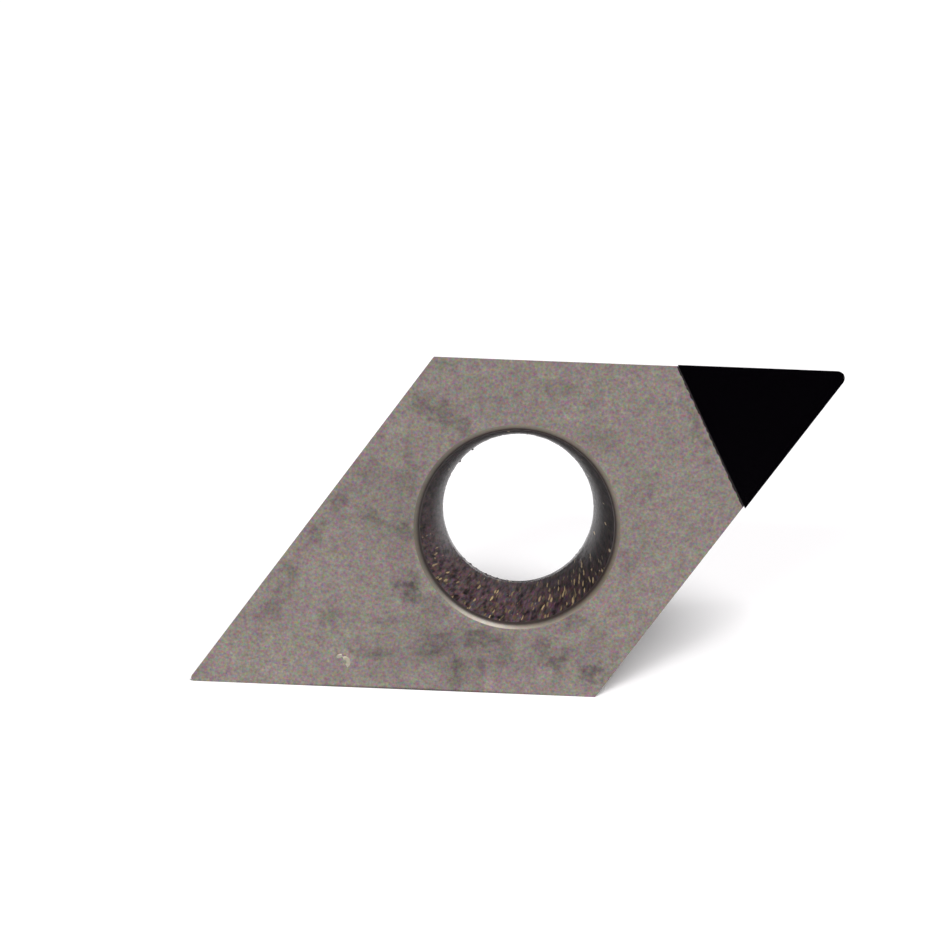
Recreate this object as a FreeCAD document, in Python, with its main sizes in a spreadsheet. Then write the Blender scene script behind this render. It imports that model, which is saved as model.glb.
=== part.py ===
import FreeCAD
import Part
import math
import os
import Sketcher

# Turning insert with a brazed diamond tip, standing on its lower flank.
# Every piece is drawn on the flat rake face: X runs along the long diagonal towards the
# cutting corner, Y across it, and Z out of the face. The pieces are then stood up together:
# the origin is on the screw hole's axis in the seat face, +X runs along the upper cutting
# edge towards the tip, and +Z points up from the flank that the insert stands on.

SIZES = (
    # The ground carbide body. Beside the tip its two flanks are set back from the cutting edges.
    ("inscribed_circle", 9.525),
    ("thickness", 3.97),
    ("corner_angle", 55.0),
    ("clearance_angle", 7.0),
    ("corner_radius", 0.1),
    ("top_flank_setback", 0.035),
    ("side_flank_setback", 0.07),
    # The screw hole: a bevelled mouth, a long conical seat and a short cylindrical land
    ("mouth_diameter", 5.46),
    ("mouth_bevel", 0.18),
    ("hole_diameter", 4.4),
    ("land_length", 0.4),
    # The corner pocket and the film of braze in it
    ("pocket_corner_radius", 0.12),
    ("braze_thickness", 0.05),
    # The tip: a diamond layer sintered on a carbide backing
    ("cutting_edge_length", 4.85),
    ("diamond_thickness", 0.6),
    ("backing_thickness", 1.0),
    ("nose_radius", 0.2),
)

# Lengths and turns that follow from the sizes, as expressions on the sheet
CIRCLE_RADIUS = "Sizes.inscribed_circle / 2"
HALF_ANGLE = "Sizes.corner_angle / 2"
TOP_FLANK_DISTANCE = CIRCLE_RADIUS + " - Sizes.top_flank_setback"
SIDE_FLANK_DISTANCE = CIRCLE_RADIUS + " - Sizes.side_flank_setback"
TIP_THICKNESS = "Sizes.diamond_thickness + Sizes.backing_thickness"
CORNER_POSITION = "Sizes.inscribed_circle / 2 / sin(Sizes.corner_angle / 2)"
JOINT_POSITION = CORNER_POSITION + " - Sizes.cutting_edge_length * cos(Sizes.corner_angle / 2)"
POCKET_POSITION = JOINT_POSITION + " - Sizes.braze_thickness"
POCKET_DEPTH = TIP_THICKNESS + " + Sizes.braze_thickness"
MOUTH_RADIUS = "Sizes.mouth_diameter / 2"
HOLE_RADIUS = "Sizes.hole_diameter / 2"
CUT_REACH = "2 * Sizes.inscribed_circle"
STANDING_TURN = "rotationx(90 - Sizes.clearance_angle) * rotationz(Sizes.corner_angle / 2)"
STANDING_PLACEMENT = (
    "placement(vector(0; 0; 0); " + STANDING_TURN + ")"
    " * placement(vector(0; 0; Sizes.thickness); rotationx(0))"
)

# How a sketch numbers its axes, the points of its lines and circles, and its origin
X_AXIS, Y_AXIS = range(-1, -3, -1)
START, END, CENTRE = range(1, 4)
ORIGIN_POINT = (X_AXIS, START)

# Points closer together than this count as one
NEAR = 0.001


def add_sheet(document):
    sheet = document.addObject("Spreadsheet::Sheet", "Sizes")
    for row, (alias, value) in enumerate(SIZES, start=1):
        sheet.set("A%d" % row, alias.replace("_", " "))
        sheet.set("B%d" % row, str(value))
        sheet.setAlias("B%d" % row, alias)
    document.recompute()


def add_body(document, name):
    body = document.addObject("PartDesign::Body", name)
    body.Label = name
    return body


def origin_plane(body, role):
    return next(each for each in body.Origin.OriginFeatures if each.Role == role)


def add_sketch(body, name, role):
    """A sketch on one of the body's own origin planes."""
    sketch = body.newObject("Sketcher::SketchObject", name)
    sketch.AttachmentSupport = [(origin_plane(body, role), "")]
    sketch.MapMode = "FlatFace"
    return sketch


def present_value(item, expression):
    """What the expression gives now, in millimetres or degrees."""
    value = item.evalExpression(expression)
    return float(getattr(value, "Value", value))


def drive(sketch, kind, places, expression):
    """Adds a dimension to the sketch and ties it to the sheet."""
    value = present_value(sketch, expression)
    if kind == "Angle":
        value = math.radians(value)
    index = sketch.addConstraint(Sketcher.Constraint(kind, *places, value))
    sketch.setExpression("Constraints[%d]" % index, expression)


def hold(sketch, kind, *places):
    """Adds a constraint that has no size."""
    sketch.addConstraint(Sketcher.Constraint(kind, *places))


def add_outline(sketch, points):
    """Closed outline of straight lines through the points."""
    lines = []
    for start, end in zip(points, points[1:] + points[:1]):
        segment = Part.LineSegment(FreeCAD.Vector(*start), FreeCAD.Vector(*end))
        lines.append(sketch.addGeometry(segment, False))
    for line, following in zip(lines, lines[1:] + lines[:1]):
        hold(sketch, "Coincident", line, END, following, START)
    return lines


def add_inscribed_circle(sketch):
    """The construction circle that sets an insert's size."""
    radius = present_value(sketch, CIRCLE_RADIUS)
    circle = sketch.addGeometry(Part.Circle(FreeCAD.Vector(), FreeCAD.Vector(0, 0, 1), radius), True)
    hold(sketch, "Coincident", circle, CENTRE, *ORIGIN_POINT)
    drive(sketch, "Diameter", (circle,), "Sizes.inscribed_circle")
    return circle


def rhombus_reach(sketch):
    """How far the sharp and the blunt corners lie from the hole's axis."""
    radius = present_value(sketch, CIRCLE_RADIUS)
    half_angle = math.radians(present_value(sketch, HALF_ANGLE))
    return radius / math.sin(half_angle), radius / math.cos(half_angle)


def add_body_outline(body, name):
    """The body's rake face: two located flanks touch the circle, and two are set back from it."""
    sketch = add_sketch(body, name, "XY_Plane")
    sharp, blunt = rhombus_reach(sketch)
    corners = [(sharp, 0, 0), (0, blunt, 0), (-sharp, 0, 0), (0, -blunt, 0)]
    top, left, bottom, side = add_outline(sketch, corners)
    circle = add_inscribed_circle(sketch)
    hold(sketch, "PointOnObject", bottom, START, X_AXIS)
    hold(sketch, "Tangent", left, circle)
    hold(sketch, "Tangent", bottom, circle)
    hold(sketch, "Parallel", top, bottom)
    hold(sketch, "Parallel", side, left)
    drive(sketch, "Angle", (bottom, START, left, END), "Sizes.corner_angle")
    drive(sketch, "Distance", (*ORIGIN_POINT, top), TOP_FLANK_DISTANCE)
    drive(sketch, "Distance", (*ORIGIN_POINT, side), SIDE_FLANK_DISTANCE)
    return sketch


def add_tip_outline(body, name):
    """The tip before its back is cut off: two cutting edges that touch the circle."""
    sketch = add_sketch(body, name, "XY_Plane")
    sharp, blunt = rhombus_reach(sketch)
    top, back, side = add_outline(sketch, [(sharp, 0, 0), (0, blunt, 0), (0, -blunt, 0)])
    circle = add_inscribed_circle(sketch)
    hold(sketch, "PointOnObject", top, START, X_AXIS)
    hold(sketch, "PointOnObject", back, START, Y_AXIS)
    hold(sketch, "PointOnObject", back, END, Y_AXIS)
    hold(sketch, "Tangent", top, circle)
    hold(sketch, "Tangent", side, circle)
    drive(sketch, "Angle", (top, START, side, END), "Sizes.corner_angle")
    return sketch


def add_band(body, name, position, forward):
    """A wide rectangle before or behind a line across the diagonal, for cutting there."""
    sketch = add_sketch(body, name, "XY_Plane")
    start = present_value(sketch, position)
    reach = present_value(sketch, CUT_REACH)
    end = start + reach if forward else start - reach
    corners = [(start, -reach, 0), (start, reach, 0), (end, reach, 0), (end, -reach, 0)]
    near, high, far, low = add_outline(sketch, corners)
    hold(sketch, "Vertical", far)
    hold(sketch, "Horizontal", high)
    hold(sketch, "Horizontal", low)
    hold(sketch, "Symmetric", near, START, near, END, X_AXIS)
    drive(sketch, "DistanceY", (near, START, near, END), "2 * " + CUT_REACH)
    drive(sketch, "DistanceX", (*ORIGIN_POINT, near, START), position)
    width_places = (near, END, high, END) if forward else (high, END, near, END)
    drive(sketch, "DistanceX", width_places, CUT_REACH)
    return sketch


def add_plate(body, sketch, depth):
    """A plate below the rake face, its flanks falling inwards by the clearance angle."""
    pad = body.newObject("PartDesign::Pad", sketch.Name + "_plate")
    pad.Profile = sketch
    pad.Reversed = True
    pad.setExpression("Length", depth)
    body.Document.recompute()
    flanks = []
    for number, face in enumerate(pad.Shape.Faces, start=1):
        if abs(face.normalAt(0, 0).z) < NEAR:
            flanks.append("Face%d" % number)
    draft = body.newObject("PartDesign::Draft", sketch.Name + "_clearance")
    draft.Base = (pad, flanks)
    draft.NeutralPlane = (origin_plane(body, "XY_Plane"), [""])
    draft.Reversed = True
    draft.setExpression("Angle", "Sizes.clearance_angle")
    body.Document.recompute()
    return draft


def require_cut(body, feature, volume_before):
    """A cut that points away from the solid would take nothing off it."""
    body.Document.recompute()
    if body.Shape.Volume >= volume_before:
        raise RuntimeError(feature.Name + " cuts nothing")


def cut_to_depth(body, sketch, depth):
    """Cuts the sketch from the rake face down to the depth."""
    volume = body.Shape.Volume
    pocket = body.newObject("PartDesign::Pocket", sketch.Name + "_cut")
    pocket.Profile = sketch
    pocket.setExpression("Length", depth)
    require_cut(body, pocket, volume)
    return pocket


def cut_through(body, sketch):
    """Cuts the sketch right through the piece."""
    volume = body.Shape.Volume
    pocket = body.newObject("PartDesign::Pocket", sketch.Name + "_cut")
    pocket.Profile = sketch
    pocket.Type = "ThroughAll"
    require_cut(body, pocket, volume)
    return pocket


def round_edges(body, feature, name, belongs, radius):
    """Rounds the feature's edges whose end points all belong."""
    edges = []
    for number, edge in enumerate(feature.Shape.Edges, start=1):
        if all(belongs(vertex.Point) for vertex in edge.Vertexes):
            edges.append("Edge%d" % number)
    fillet = body.newObject("PartDesign::Fillet", name)
    fillet.Base = (feature, edges)
    fillet.setExpression("Radius", radius)
    body.Document.recompute()
    return fillet


def at_sharp_corner(point):
    """The two sharp corners lie along the diagonal, the two blunt ones across it."""
    return abs(point.x) > abs(point.y)


def at_cutting_corner(point):
    return point.x > abs(point.y)


def round_pocket_corner(body, feature, name):
    """Rounds the edge between the pocket's floor and back wall, as a grinding wheel leaves it."""
    back = present_value(body, POCKET_POSITION)
    floor = -present_value(body, POCKET_DEPTH)

    def in_pocket_corner(point):
        return abs(point.x - back) < NEAR and abs(point.z - floor) < NEAR

    return round_edges(body, feature, name, in_pocket_corner, "Sizes.pocket_corner_radius")


def add_screw_hole(body):
    """The hole turned about its axis: bevel, conical seat and cylindrical land."""
    sketch = add_sketch(body, "hole_profile", "XZ_Plane")
    mouth = present_value(sketch, MOUTH_RADIUS)
    bevel = present_value(sketch, "Sizes.mouth_bevel")
    hole = present_value(sketch, HOLE_RADIUS)
    seat_face = -present_value(sketch, "Sizes.thickness")
    land_top = seat_face + present_value(sketch, "Sizes.land_length")
    profile = [
        (0, 0, 0),
        (mouth + bevel, 0, 0),
        (mouth, -bevel, 0),
        (hole, land_top, 0),
        (hole, seat_face, 0),
        (0, seat_face, 0),
    ]
    rake, bevelled, cone, land, seat, axis = add_outline(sketch, profile)
    hold(sketch, "Coincident", rake, START, *ORIGIN_POINT)
    hold(sketch, "Horizontal", rake)
    hold(sketch, "Horizontal", seat)
    hold(sketch, "Vertical", land)
    hold(sketch, "Vertical", axis)
    drive(sketch, "DistanceX", (*ORIGIN_POINT, cone, START), MOUTH_RADIUS)
    drive(sketch, "DistanceX", (bevelled, END, bevelled, START), "Sizes.mouth_bevel")
    drive(sketch, "DistanceY", (bevelled, END, bevelled, START), "Sizes.mouth_bevel")
    drive(sketch, "DistanceX", (*ORIGIN_POINT, land, START), HOLE_RADIUS)
    drive(sketch, "DistanceY", (land, END, land, START), "Sizes.land_length")
    drive(sketch, "DistanceY", (axis, START, axis, END), "Sizes.thickness")
    volume = body.Shape.Volume
    groove = body.newObject("PartDesign::Groove", "screw_hole")
    groove.Profile = sketch
    groove.ReferenceAxis = (sketch, ["V_Axis"])
    groove.Angle = 360.0
    require_cut(body, groove, volume)


def build_carbide_body(document):
    """The rhombic plate with its screw hole and the corner pocket for the tip."""
    body = add_body(document, "carbide_body")
    plate = add_plate(body, add_body_outline(body, "body_outline"), "Sizes.thickness")
    round_edges(body, plate, "sharp_corners", at_sharp_corner, "Sizes.corner_radius")
    add_screw_hole(body)
    pocket = cut_to_depth(body, add_band(body, "tip_pocket", POCKET_POSITION, True), POCKET_DEPTH)
    round_pocket_corner(body, pocket, "pocket_corner")
    return body


def build_braze_joint(document):
    """The film of braze on the pocket's floor and back wall, ground flush with the body's flanks."""
    body = add_body(document, "braze_joint")
    plate = add_plate(body, add_body_outline(body, "braze_outline"), POCKET_DEPTH)
    round_edges(body, plate, "braze_corner", at_cutting_corner, "Sizes.corner_radius")
    back_cut = cut_through(body, add_band(body, "behind_braze", POCKET_POSITION, False))
    round_pocket_corner(body, back_cut, "braze_root")
    cut_to_depth(body, add_band(body, "room_for_tip", JOINT_POSITION, True), TIP_THICKNESS)
    return body


def build_tip_backing(document):
    """The carbide half of the tip, which the braze holds."""
    body = add_body(document, "tip_backing")
    plate = add_plate(body, add_tip_outline(body, "backing_outline"), TIP_THICKNESS)
    round_edges(body, plate, "backing_nose", at_cutting_corner, "Sizes.nose_radius")
    cut_through(body, add_band(body, "behind_backing", JOINT_POSITION, False))
    cut_to_depth(body, add_band(body, "room_for_diamond", "0", True), "Sizes.diamond_thickness")
    return body


def build_diamond_layer(document):
    """The diamond half of the tip, level with the rake face, which carries the cutting edges."""
    body = add_body(document, "diamond_layer")
    plate = add_plate(body, add_tip_outline(body, "diamond_outline"), "Sizes.diamond_thickness")
    round_edges(body, plate, "diamond_nose", at_cutting_corner, "Sizes.nose_radius")
    cut_through(body, add_band(body, "behind_diamond", JOINT_POSITION, False))
    return body


def check_features(document):
    for each in document.Objects:
        if "Invalid" in each.State or "Error" in each.State:
            raise RuntimeError(each.Name + " failed: " + str(each.State))


def check_shapes(bodies):
    for body in bodies:
        if body.Shape.isNull() or not body.Shape.isValid():
            raise RuntimeError(body.Label + " has no valid shape")


def write_steps(bodies):
    os.makedirs("parts", exist_ok=True)
    for body in bodies:
        body.Shape.exportStep("parts/" + body.Label + ".step")
        print(body.Label, "%.4f mm3" % body.Shape.Volume)


def main():
    document = FreeCAD.newDocument("TurningInsert")
    add_sheet(document)
    bodies = [
        build_carbide_body(document),
        build_braze_joint(document),
        build_tip_backing(document),
        build_diamond_layer(document),
    ]
    for body in bodies:
        body.setExpression("Placement", STANDING_PLACEMENT)
    document.recompute()
    check_features(document)
    check_shapes(bodies)
    write_steps(bodies)


main()
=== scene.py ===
import math

import bmesh
import bpy
from mathutils import Euler, Matrix, Vector


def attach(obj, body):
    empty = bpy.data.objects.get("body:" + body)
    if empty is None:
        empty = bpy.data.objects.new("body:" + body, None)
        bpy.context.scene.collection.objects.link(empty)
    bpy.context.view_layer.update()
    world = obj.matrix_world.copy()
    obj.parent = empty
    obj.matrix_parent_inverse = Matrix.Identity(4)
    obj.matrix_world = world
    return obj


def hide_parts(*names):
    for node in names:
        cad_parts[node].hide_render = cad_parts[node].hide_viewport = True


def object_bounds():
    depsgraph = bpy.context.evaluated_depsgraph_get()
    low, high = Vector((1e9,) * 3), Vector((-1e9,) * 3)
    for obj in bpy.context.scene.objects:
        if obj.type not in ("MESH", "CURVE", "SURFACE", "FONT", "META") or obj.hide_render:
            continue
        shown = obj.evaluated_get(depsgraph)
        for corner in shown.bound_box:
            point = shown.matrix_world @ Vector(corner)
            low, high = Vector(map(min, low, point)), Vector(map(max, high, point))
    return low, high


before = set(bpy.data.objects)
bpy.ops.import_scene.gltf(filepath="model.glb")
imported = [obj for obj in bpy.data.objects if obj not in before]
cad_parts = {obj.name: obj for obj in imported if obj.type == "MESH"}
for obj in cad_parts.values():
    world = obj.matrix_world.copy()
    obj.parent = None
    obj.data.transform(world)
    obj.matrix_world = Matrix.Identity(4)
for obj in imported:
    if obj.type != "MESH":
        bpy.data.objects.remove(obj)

cad_low, cad_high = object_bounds()

# Turning insert with a brazed diamond tip. Its pieces are worked in millimetres, as in the
# grinding shop: on the flat rake face, with X along the long diagonal towards the cutting
# corner, Y across it and Z out of the face. Then they are stood up on the lower flank and
# scaled to metres, as packed. Where a mark on the rake face is placed, its X runs to the right
# along the upper cutting edge and its Y up, from the hole's axis.

MM = 0.001

# The insert's driving sizes
INSCRIBED_CIRCLE = 9.525
THICKNESS = 3.97
CORNER_ANGLE = math.radians(55)
CLEARANCE = math.radians(7)
CORNER_RADIUS = 0.1
TOP_FLANK_SETBACK = 0.035
SIDE_FLANK_SETBACK = 0.07
MOUTH_RADIUS = 2.73
MOUTH_BEVEL = 0.18
HOLE_RADIUS = 2.2
LAND_LENGTH = 0.4
POCKET_CORNER_RADIUS = 0.12
BRAZE_THICKNESS = 0.05
CUTTING_EDGE_LENGTH = 4.85
DIAMOND_THICKNESS = 0.6
TIP_THICKNESS = 1.6
NOSE_RADIUS = 0.2

# Where the flanks face, turned from the long diagonal
HALF_ANGLE = CORNER_ANGLE / 2
TOP_FLANK = math.radians(90) - HALF_ANGLE
SIDE_FLANK = -TOP_FLANK
BACK_FLANK = math.radians(90) + HALF_ANGLE
LOWER_FLANK = -BACK_FLANK
TIP_BACK = math.radians(180)

# Where the tip, the film of braze and the pocket begin along the diagonal
CIRCLE_RADIUS = INSCRIBED_CIRCLE / 2
CORNER_POSITION = CIRCLE_RADIUS / math.sin(HALF_ANGLE)
JOINT_POSITION = CORNER_POSITION - CUTTING_EDGE_LENGTH * math.cos(HALF_ANGLE)
POCKET_POSITION = JOINT_POSITION - BRAZE_THICKNESS
POCKET_DEPTH = TIP_THICKNESS + BRAZE_THICKNESS

# Room that a rough block or a cutter has beyond the finished size
SPARE = 1.0
BLOCK_WIDTH = 3 * INSCRIBED_CIRCLE
POCKET_BLOCK_REACH = 2.7
MARGIN = 0.1

# How faces, edges and points are told apart: level faces, steep edges, and points on a plane
LEVEL = 0.999
STEEP = 0.5
NEAR = 0.001

# How finely the round and the rough stretches are worked
HOLE_STEPS = 320
WALL_STEPS = 56
LAND_STEPS = 7
CORNER_STEPS = 8
NOSE_STEPS = 16
POCKET_STEPS = 110

# The worn round of the mouth's bevel, from the cone to the face, in shares of its size: how far
# out and how far down each step lies. The last step clears the rake face.
MOUTH_PROFILE = (
    (0.00, 1.00), (0.12, 0.72), (0.28, 0.47), (0.48, 0.29), (0.72, 0.14), (0.95, 0.02),
    (1.15, -0.08),
)

# The bevel profile that makes a true arc in a corner this sharp
ARC_PROFILE = ((1 + 2 * math.sin(HALF_ANGLE)) / (2 + 2 * math.sin(HALF_ANGLE))) ** 2

# What the wheel and the press leave: hair-fine broken edges, a ragged pocket, a rough hole
EDGE_BREAK = 0.012
CUTTING_EDGE_BREAK = 0.004
BREAK_ANGLE = math.radians(30)
FLAT_FACE_WEIGHT = 100
POCKET_ROUGHNESS = 0.09
POCKET_GRAIN = 0.14
WALL_ROUGHNESS = 0.03
WALL_GRAIN = 0.09

# Burrs on the hole's far rim: where they stand, in degrees from the long diagonal, and how far
# they reach inwards
RIM_BURRS = (
    (102.8, 0.07), (116.3, 0.06), (199.0, 0.013), (205.5, 0.02), (211.0, 0.012), (219.5, 0.022),
    (223.0, 0.014), (228.5, 0.018), (236.0, 0.01), (294.5, 0.014), (299.5, 0.012),
)
BURR_WIDTH = math.radians(1.6)

# A hooked sliver raised on the rake face near the lower edge, and the speck at its start
HOOK_CENTRE = (-4.725, -4.045)
HOOK_RADIUS = 0.115
HOOK_THICKNESS = 0.058
HOOK_START = math.radians(110)
HOOK_END = math.radians(-60)
SPECK_PLACE = (-4.875, -3.875)
SPECK_SIZE = (0.085, 0.06)
MARK_HEIGHT = 0.02

# How the insert stands in the row frame: the screw hole's axis meets the seat face at the origin
TILT = math.radians(90) - CLEARANCE
STAND = (
    Matrix.Scale(MM, 4)
    @ Matrix.Rotation(TILT, 4, "X")
    @ Matrix.Rotation(HALF_ANGLE, 4, "Z")
    @ Matrix.Translation((0, 0, THICKNESS))
)
RAKE_CENTRE = STAND.translation

# The camera, in the row frame
CAMERA_PLACE = Vector((0.377, -94.389, 26.144)) * MM
CAMERA_TURN = Euler([math.radians(angle) for angle in (75.024, -1.945, 1.537)])
CAMERA_LENS = 126.88
CAMERA_SENSOR = 36.0

# The table reaches far behind the insert and ends a little in front of it. It is seen whiter
# than it is lit.
FLOOR_WIDTH = 1200 * MM
FLOOR_BACK = 900 * MM
FLOOR_FRONT = 26 * MM
TABLE_COLOUR = (0.8, 0.8, 0.8, 1)
SEEN_TABLE_COLOUR = (1.035, 1.02, 1.03, 1)

# The square lamps: where each is seen from the insert, its side in metres, its power in watts
LAMP_DISTANCE = 4.0
LAMPS = (
    ("high_right_box", (0.306, -0.541, 0.784), 1.65, 166.0),
    ("low_left_box", (-0.196, -0.870, 0.452), 0.62, 47.9),
)

# The room lights least from straight in front of the rake face, and fully outside a cone
# around that direction: the two limits on the direction's Y, and the strength at each
ROOM_LIMITS = (-0.97, -0.5)
ROOM_STRENGTHS = (0.01, 0.20)

# The finishes' colours, as seen on a screen, from 0 to 255
RAKE_COLOUR = (123, 113, 108)
FLANK_COLOUR = (108, 102, 98)
WALL_SKIN_COLOUR = (48, 37, 39)
# The flecks' bright colour is partly a painted glint.
FLECK_GLINT_COLOUR = (226, 196, 146)
MOUTH_COLOUR = (66, 55, 52)
BARE_MOUTH_COLOUR = (118, 109, 95)
# The sliver's pale colour is a painted highlight.
SLIVER_HIGHLIGHT_COLOUR = (160, 153, 137)
BRAZE_COLOUR = (38, 32, 33)
BACKING_COLOUR = (118, 113, 110)
DIAMOND_COLOUR = (2, 1, 3)
DIAMOND_FLANK_COLOUR = (30, 29, 31)

# How much stains and the painted shade along the lower edge darken the rake face, how much
# the paler patches brighten it, and how far the stains' outlines wander in mm
STAIN_DARKNESS = 0.6
SHADE_DARKNESS = 1.0
CONTACT_SHADE_DARKNESS = 0.62
PALER_GAIN = 0.45
STAIN_WANDER = 0.9

# The strokes in the hole's wall: their pattern's stretch around the hole and down it, their turn
# in radians per mm of depth, and how far they wander. The flecks are stretched once more.
STROKES_AROUND = 2.5
STROKES_DOWN = 0.22
STROKE_SWEEP = 0.05
STROKE_WANDER = 0.09
FLECK_STRETCH = (1.2, 1.2, 0.7)

# The side towards which the wall's skin is painted paler, as painted light on the lamp's side and
# painted shade opposite, and how sharply its shine rises to the far rim
TOWARDS_PAINTED_LIGHT = (-0.45, -0.9, 0.0)
SHINE_RISE = 3.2

# Stains on the rake face, as coolant and handling leave them: where each one is, half its
# length and width, how far it is turned, and how dark it is
STAINS = (
    ((3.07, -1.07), (0.41, 0.53), -20, 0.30),
    ((-6.49, -2.17), (0.47, 0.41), 50, 0.35),
    ((-2.32, 3.17), (1.12, 0.41), -28, 0.60),
    ((-1.68, 2.76), (0.47, 0.31), -30, 0.60),
    ((-4.08, 1.37), (0.53, 0.47), 0, 0.40),
    ((-4.96, 0.61), (0.44, 0.34), 30, 0.50),
    ((-5.56, -0.26), (0.41, 0.31), 40, 0.50),
    ((-4.01, 0.11), (0.62, 0.23), -18, 0.50),
    ((-3.22, -0.17), (0.59, 0.23), -10, 0.50),
    ((-6.30, -1.56), (0.47, 0.44), 50, 0.50),
    ((-6.82, -2.59), (0.53, 0.41), 0, 0.60),
    ((-2.96, -1.84), (0.50, 0.44), -10, 1.00),
    ((-2.28, -2.40), (0.62, 0.50), -45, 0.55),
    ((-2.13, -3.51), (0.81, 0.59), 0, 0.60),
    ((-0.84, -3.18), (0.84, 0.34), -5, 0.90),
    ((-1.56, -4.20), (0.34, 0.56), 0, 0.65),
    ((-3.96, -3.74), (0.87, 0.27), -5, 0.60),
    ((-5.20, -2.68), (0.41, 0.34), 0, 0.40),
    ((-3.60, -2.85), (1.09, 0.23), 3, 0.30),
    ((1.72, -2.63), (0.42, 0.34), 0, 0.60),
    ((0.81, -3.39), (0.25, 0.50), 5, 0.60),
    ((1.30, -3.77), (0.28, 0.47), -10, 0.60),
    ((2.33, -4.01), (0.59, 0.37), 10, 0.95),
    ((0.99, 3.99), (0.75, 0.23), -5, 0.40),
    ((2.01, 3.68), (0.25, 0.53), 0, 0.30),
    ((2.44, 2.53), (0.59, 0.53), 0, 0.35),
    ((3.62, 1.32), (0.39, 0.42), 0, 0.35),
    ((-0.19, 3.83), (0.22, 0.22), 0, 0.35),
    ((-2.13, 4.49), (0.39, 0.20), 0, 0.40),
    ((-3.12, 1.52), (0.37, 1.40), -5, 0.25),
    ((-0.19, -3.67), (0.25, 0.42), 0, 0.50),
    ((-0.88, -4.10), (0.25, 0.34), 0, 0.50),
    ((2.29, -3.09), (0.34, 0.53), -20, 0.40),
    ((4.95, 2.86), (2.03, 0.19), -65, 0.40),
)

# Broad, faint shadings of the same face
BROAD_SHADES = (
    ((1.30, -3.77), (1.25, 0.72), 0, 0.15),
    ((-1.29, -3.63), (2.97, 1.03), 0, 0.16),
    ((-4.34, 0.61), (1.72, 1.33), 30, 0.08),
    ((-3.31, 0.33), (0.72, 2.34), 0, 0.15),
    ((-0.85, 3.42), (2.18, 0.72), -3, 0.05),
    ((3.26, -0.03), (0.53, 1.87), 0, 0.05),
)

# Where the face is paler: broad areas, and narrow streaks below the hole
PALER_PATCHES = (
    ((-7.02, -4.11), (2.65, 0.72), -5, 0.14),
    ((-5.53, -1.42), (1.25, 0.87), 0, 0.09),
    ((3.40, -1.53), (1.56, 0.72), 35, 0.10),
    ((2.33, -2.05), (0.41, 0.44), 0, 0.20),
    ((0.23, -3.57), (0.25, 0.34), 0, 0.30),
    ((0.92, -4.18), (0.14, 0.47), -8, 0.35),
    ((1.75, -3.91), (0.12, 0.53), -10, 0.35),
    ((2.06, -4.21), (0.12, 0.34), -10, 0.25),
    ((-0.56, -4.48), (0.16, 0.28), 0, 0.35),
    ((0.07, -4.38), (0.12, 0.31), -6, 0.25),
    ((-4.66, -3.89), (0.41, 0.19), -20, 0.35),
    ((1.41, 3.22), (0.23, 0.20), 0, 0.30),
    ((-3.51, 1.66), (0.59, 0.34), -20, 0.18),
    ((-4.93, -0.29), (0.72, 0.34), -10, 0.15),
)

# Painted shade along the rake face's lower edge, where the insert stands on the table
EDGE_CONTACT_SHADE = ((-2.9, -4.765), (4.6, 0.075), 0, 1.0)


def on_face(place, height=0.0):
    """A point given on the rake face, turned into the frame that the pieces are worked in."""
    return Matrix.Rotation(-HALF_ANGLE, 3, "Z") @ Vector((*place, height))


def start_edit(piece):
    bpy.ops.object.select_all(action="DESELECT")
    piece.select_set(True)
    bpy.context.view_layer.objects.active = piece
    bpy.ops.object.mode_set(mode="EDIT")
    bpy.ops.mesh.select_all(action="DESELECT")


def end_edit():
    bpy.ops.object.mode_set(mode="OBJECT")


def pick(piece, kind, wanted):
    """Selects the vertices, edges or faces that are wanted, while the piece is in edit mode."""
    bpy.ops.mesh.select_mode(type={"verts": "VERT", "edges": "EDGE", "faces": "FACE"}[kind])
    bpy.ops.mesh.select_all(action="DESELECT")
    shape = bmesh.from_edit_mesh(piece.data)
    for part in getattr(shape, kind):
        if wanted(part):
            part.select_set(True)
    shape.select_flush_mode()
    bmesh.update_edit_mesh(piece.data)


def apply_modifier(piece, modifier):
    bpy.ops.object.select_all(action="DESELECT")
    piece.select_set(True)
    bpy.context.view_layer.objects.active = piece
    bpy.ops.object.modifier_apply(modifier=modifier.name)


def rough_block(name, low, high):
    """A block wider than the insert, between two heights over the rake face."""
    bpy.ops.object.select_all(action="DESELECT")
    bpy.ops.mesh.primitive_cube_add(
        size=1, location=(0, 0, (low + high) / 2), scale=(BLOCK_WIDTH, BLOCK_WIDTH, high - low)
    )
    bpy.ops.object.transform_apply(location=True, rotation=False, scale=True)
    block = bpy.context.active_object
    block.name = name
    return block


def grind_flat(piece, facing, distance, clearance=0.0):
    """Takes off all that stands outside one flat, which leans inwards below the rake face."""
    outward = Vector((math.cos(facing), math.sin(facing), 0))
    normal = (outward - Vector((0, 0, math.tan(clearance)))).normalized()
    start_edit(piece)
    bpy.ops.mesh.select_all(action="SELECT")
    bpy.ops.mesh.bisect(
        plane_co=outward * distance, plane_no=normal, use_fill=True, clear_outer=True
    )
    end_edit()


def round_corner(piece, direction, radius, steps):
    """Rounds the corner where two flanks meet, at one end of the long diagonal."""

    def belongs(edge):
        ends = [vertex.co for vertex in edge.verts]
        at_corner = all(end.x * direction > abs(end.y) for end in ends)
        return at_corner and abs((ends[0] - ends[1]).normalized().z) > STEEP

    start_edit(piece)
    pick(piece, "edges", belongs)
    bpy.ops.mesh.bevel(
        offset=radius / math.tan(HALF_ANGLE), segments=steps, profile=ARC_PROFILE
    )
    end_edit()


def break_edges(piece, width):
    """Breaks every sharp edge by a hair, as a stone leaves it."""
    modifier = piece.modifiers.new("edge_break", "BEVEL")
    modifier.width = width
    modifier.segments = 2
    modifier.limit_method = "ANGLE"
    modifier.angle_limit = BREAK_ANGLE
    modifier.use_clamp_overlap = True
    apply_modifier(piece, modifier)


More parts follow.
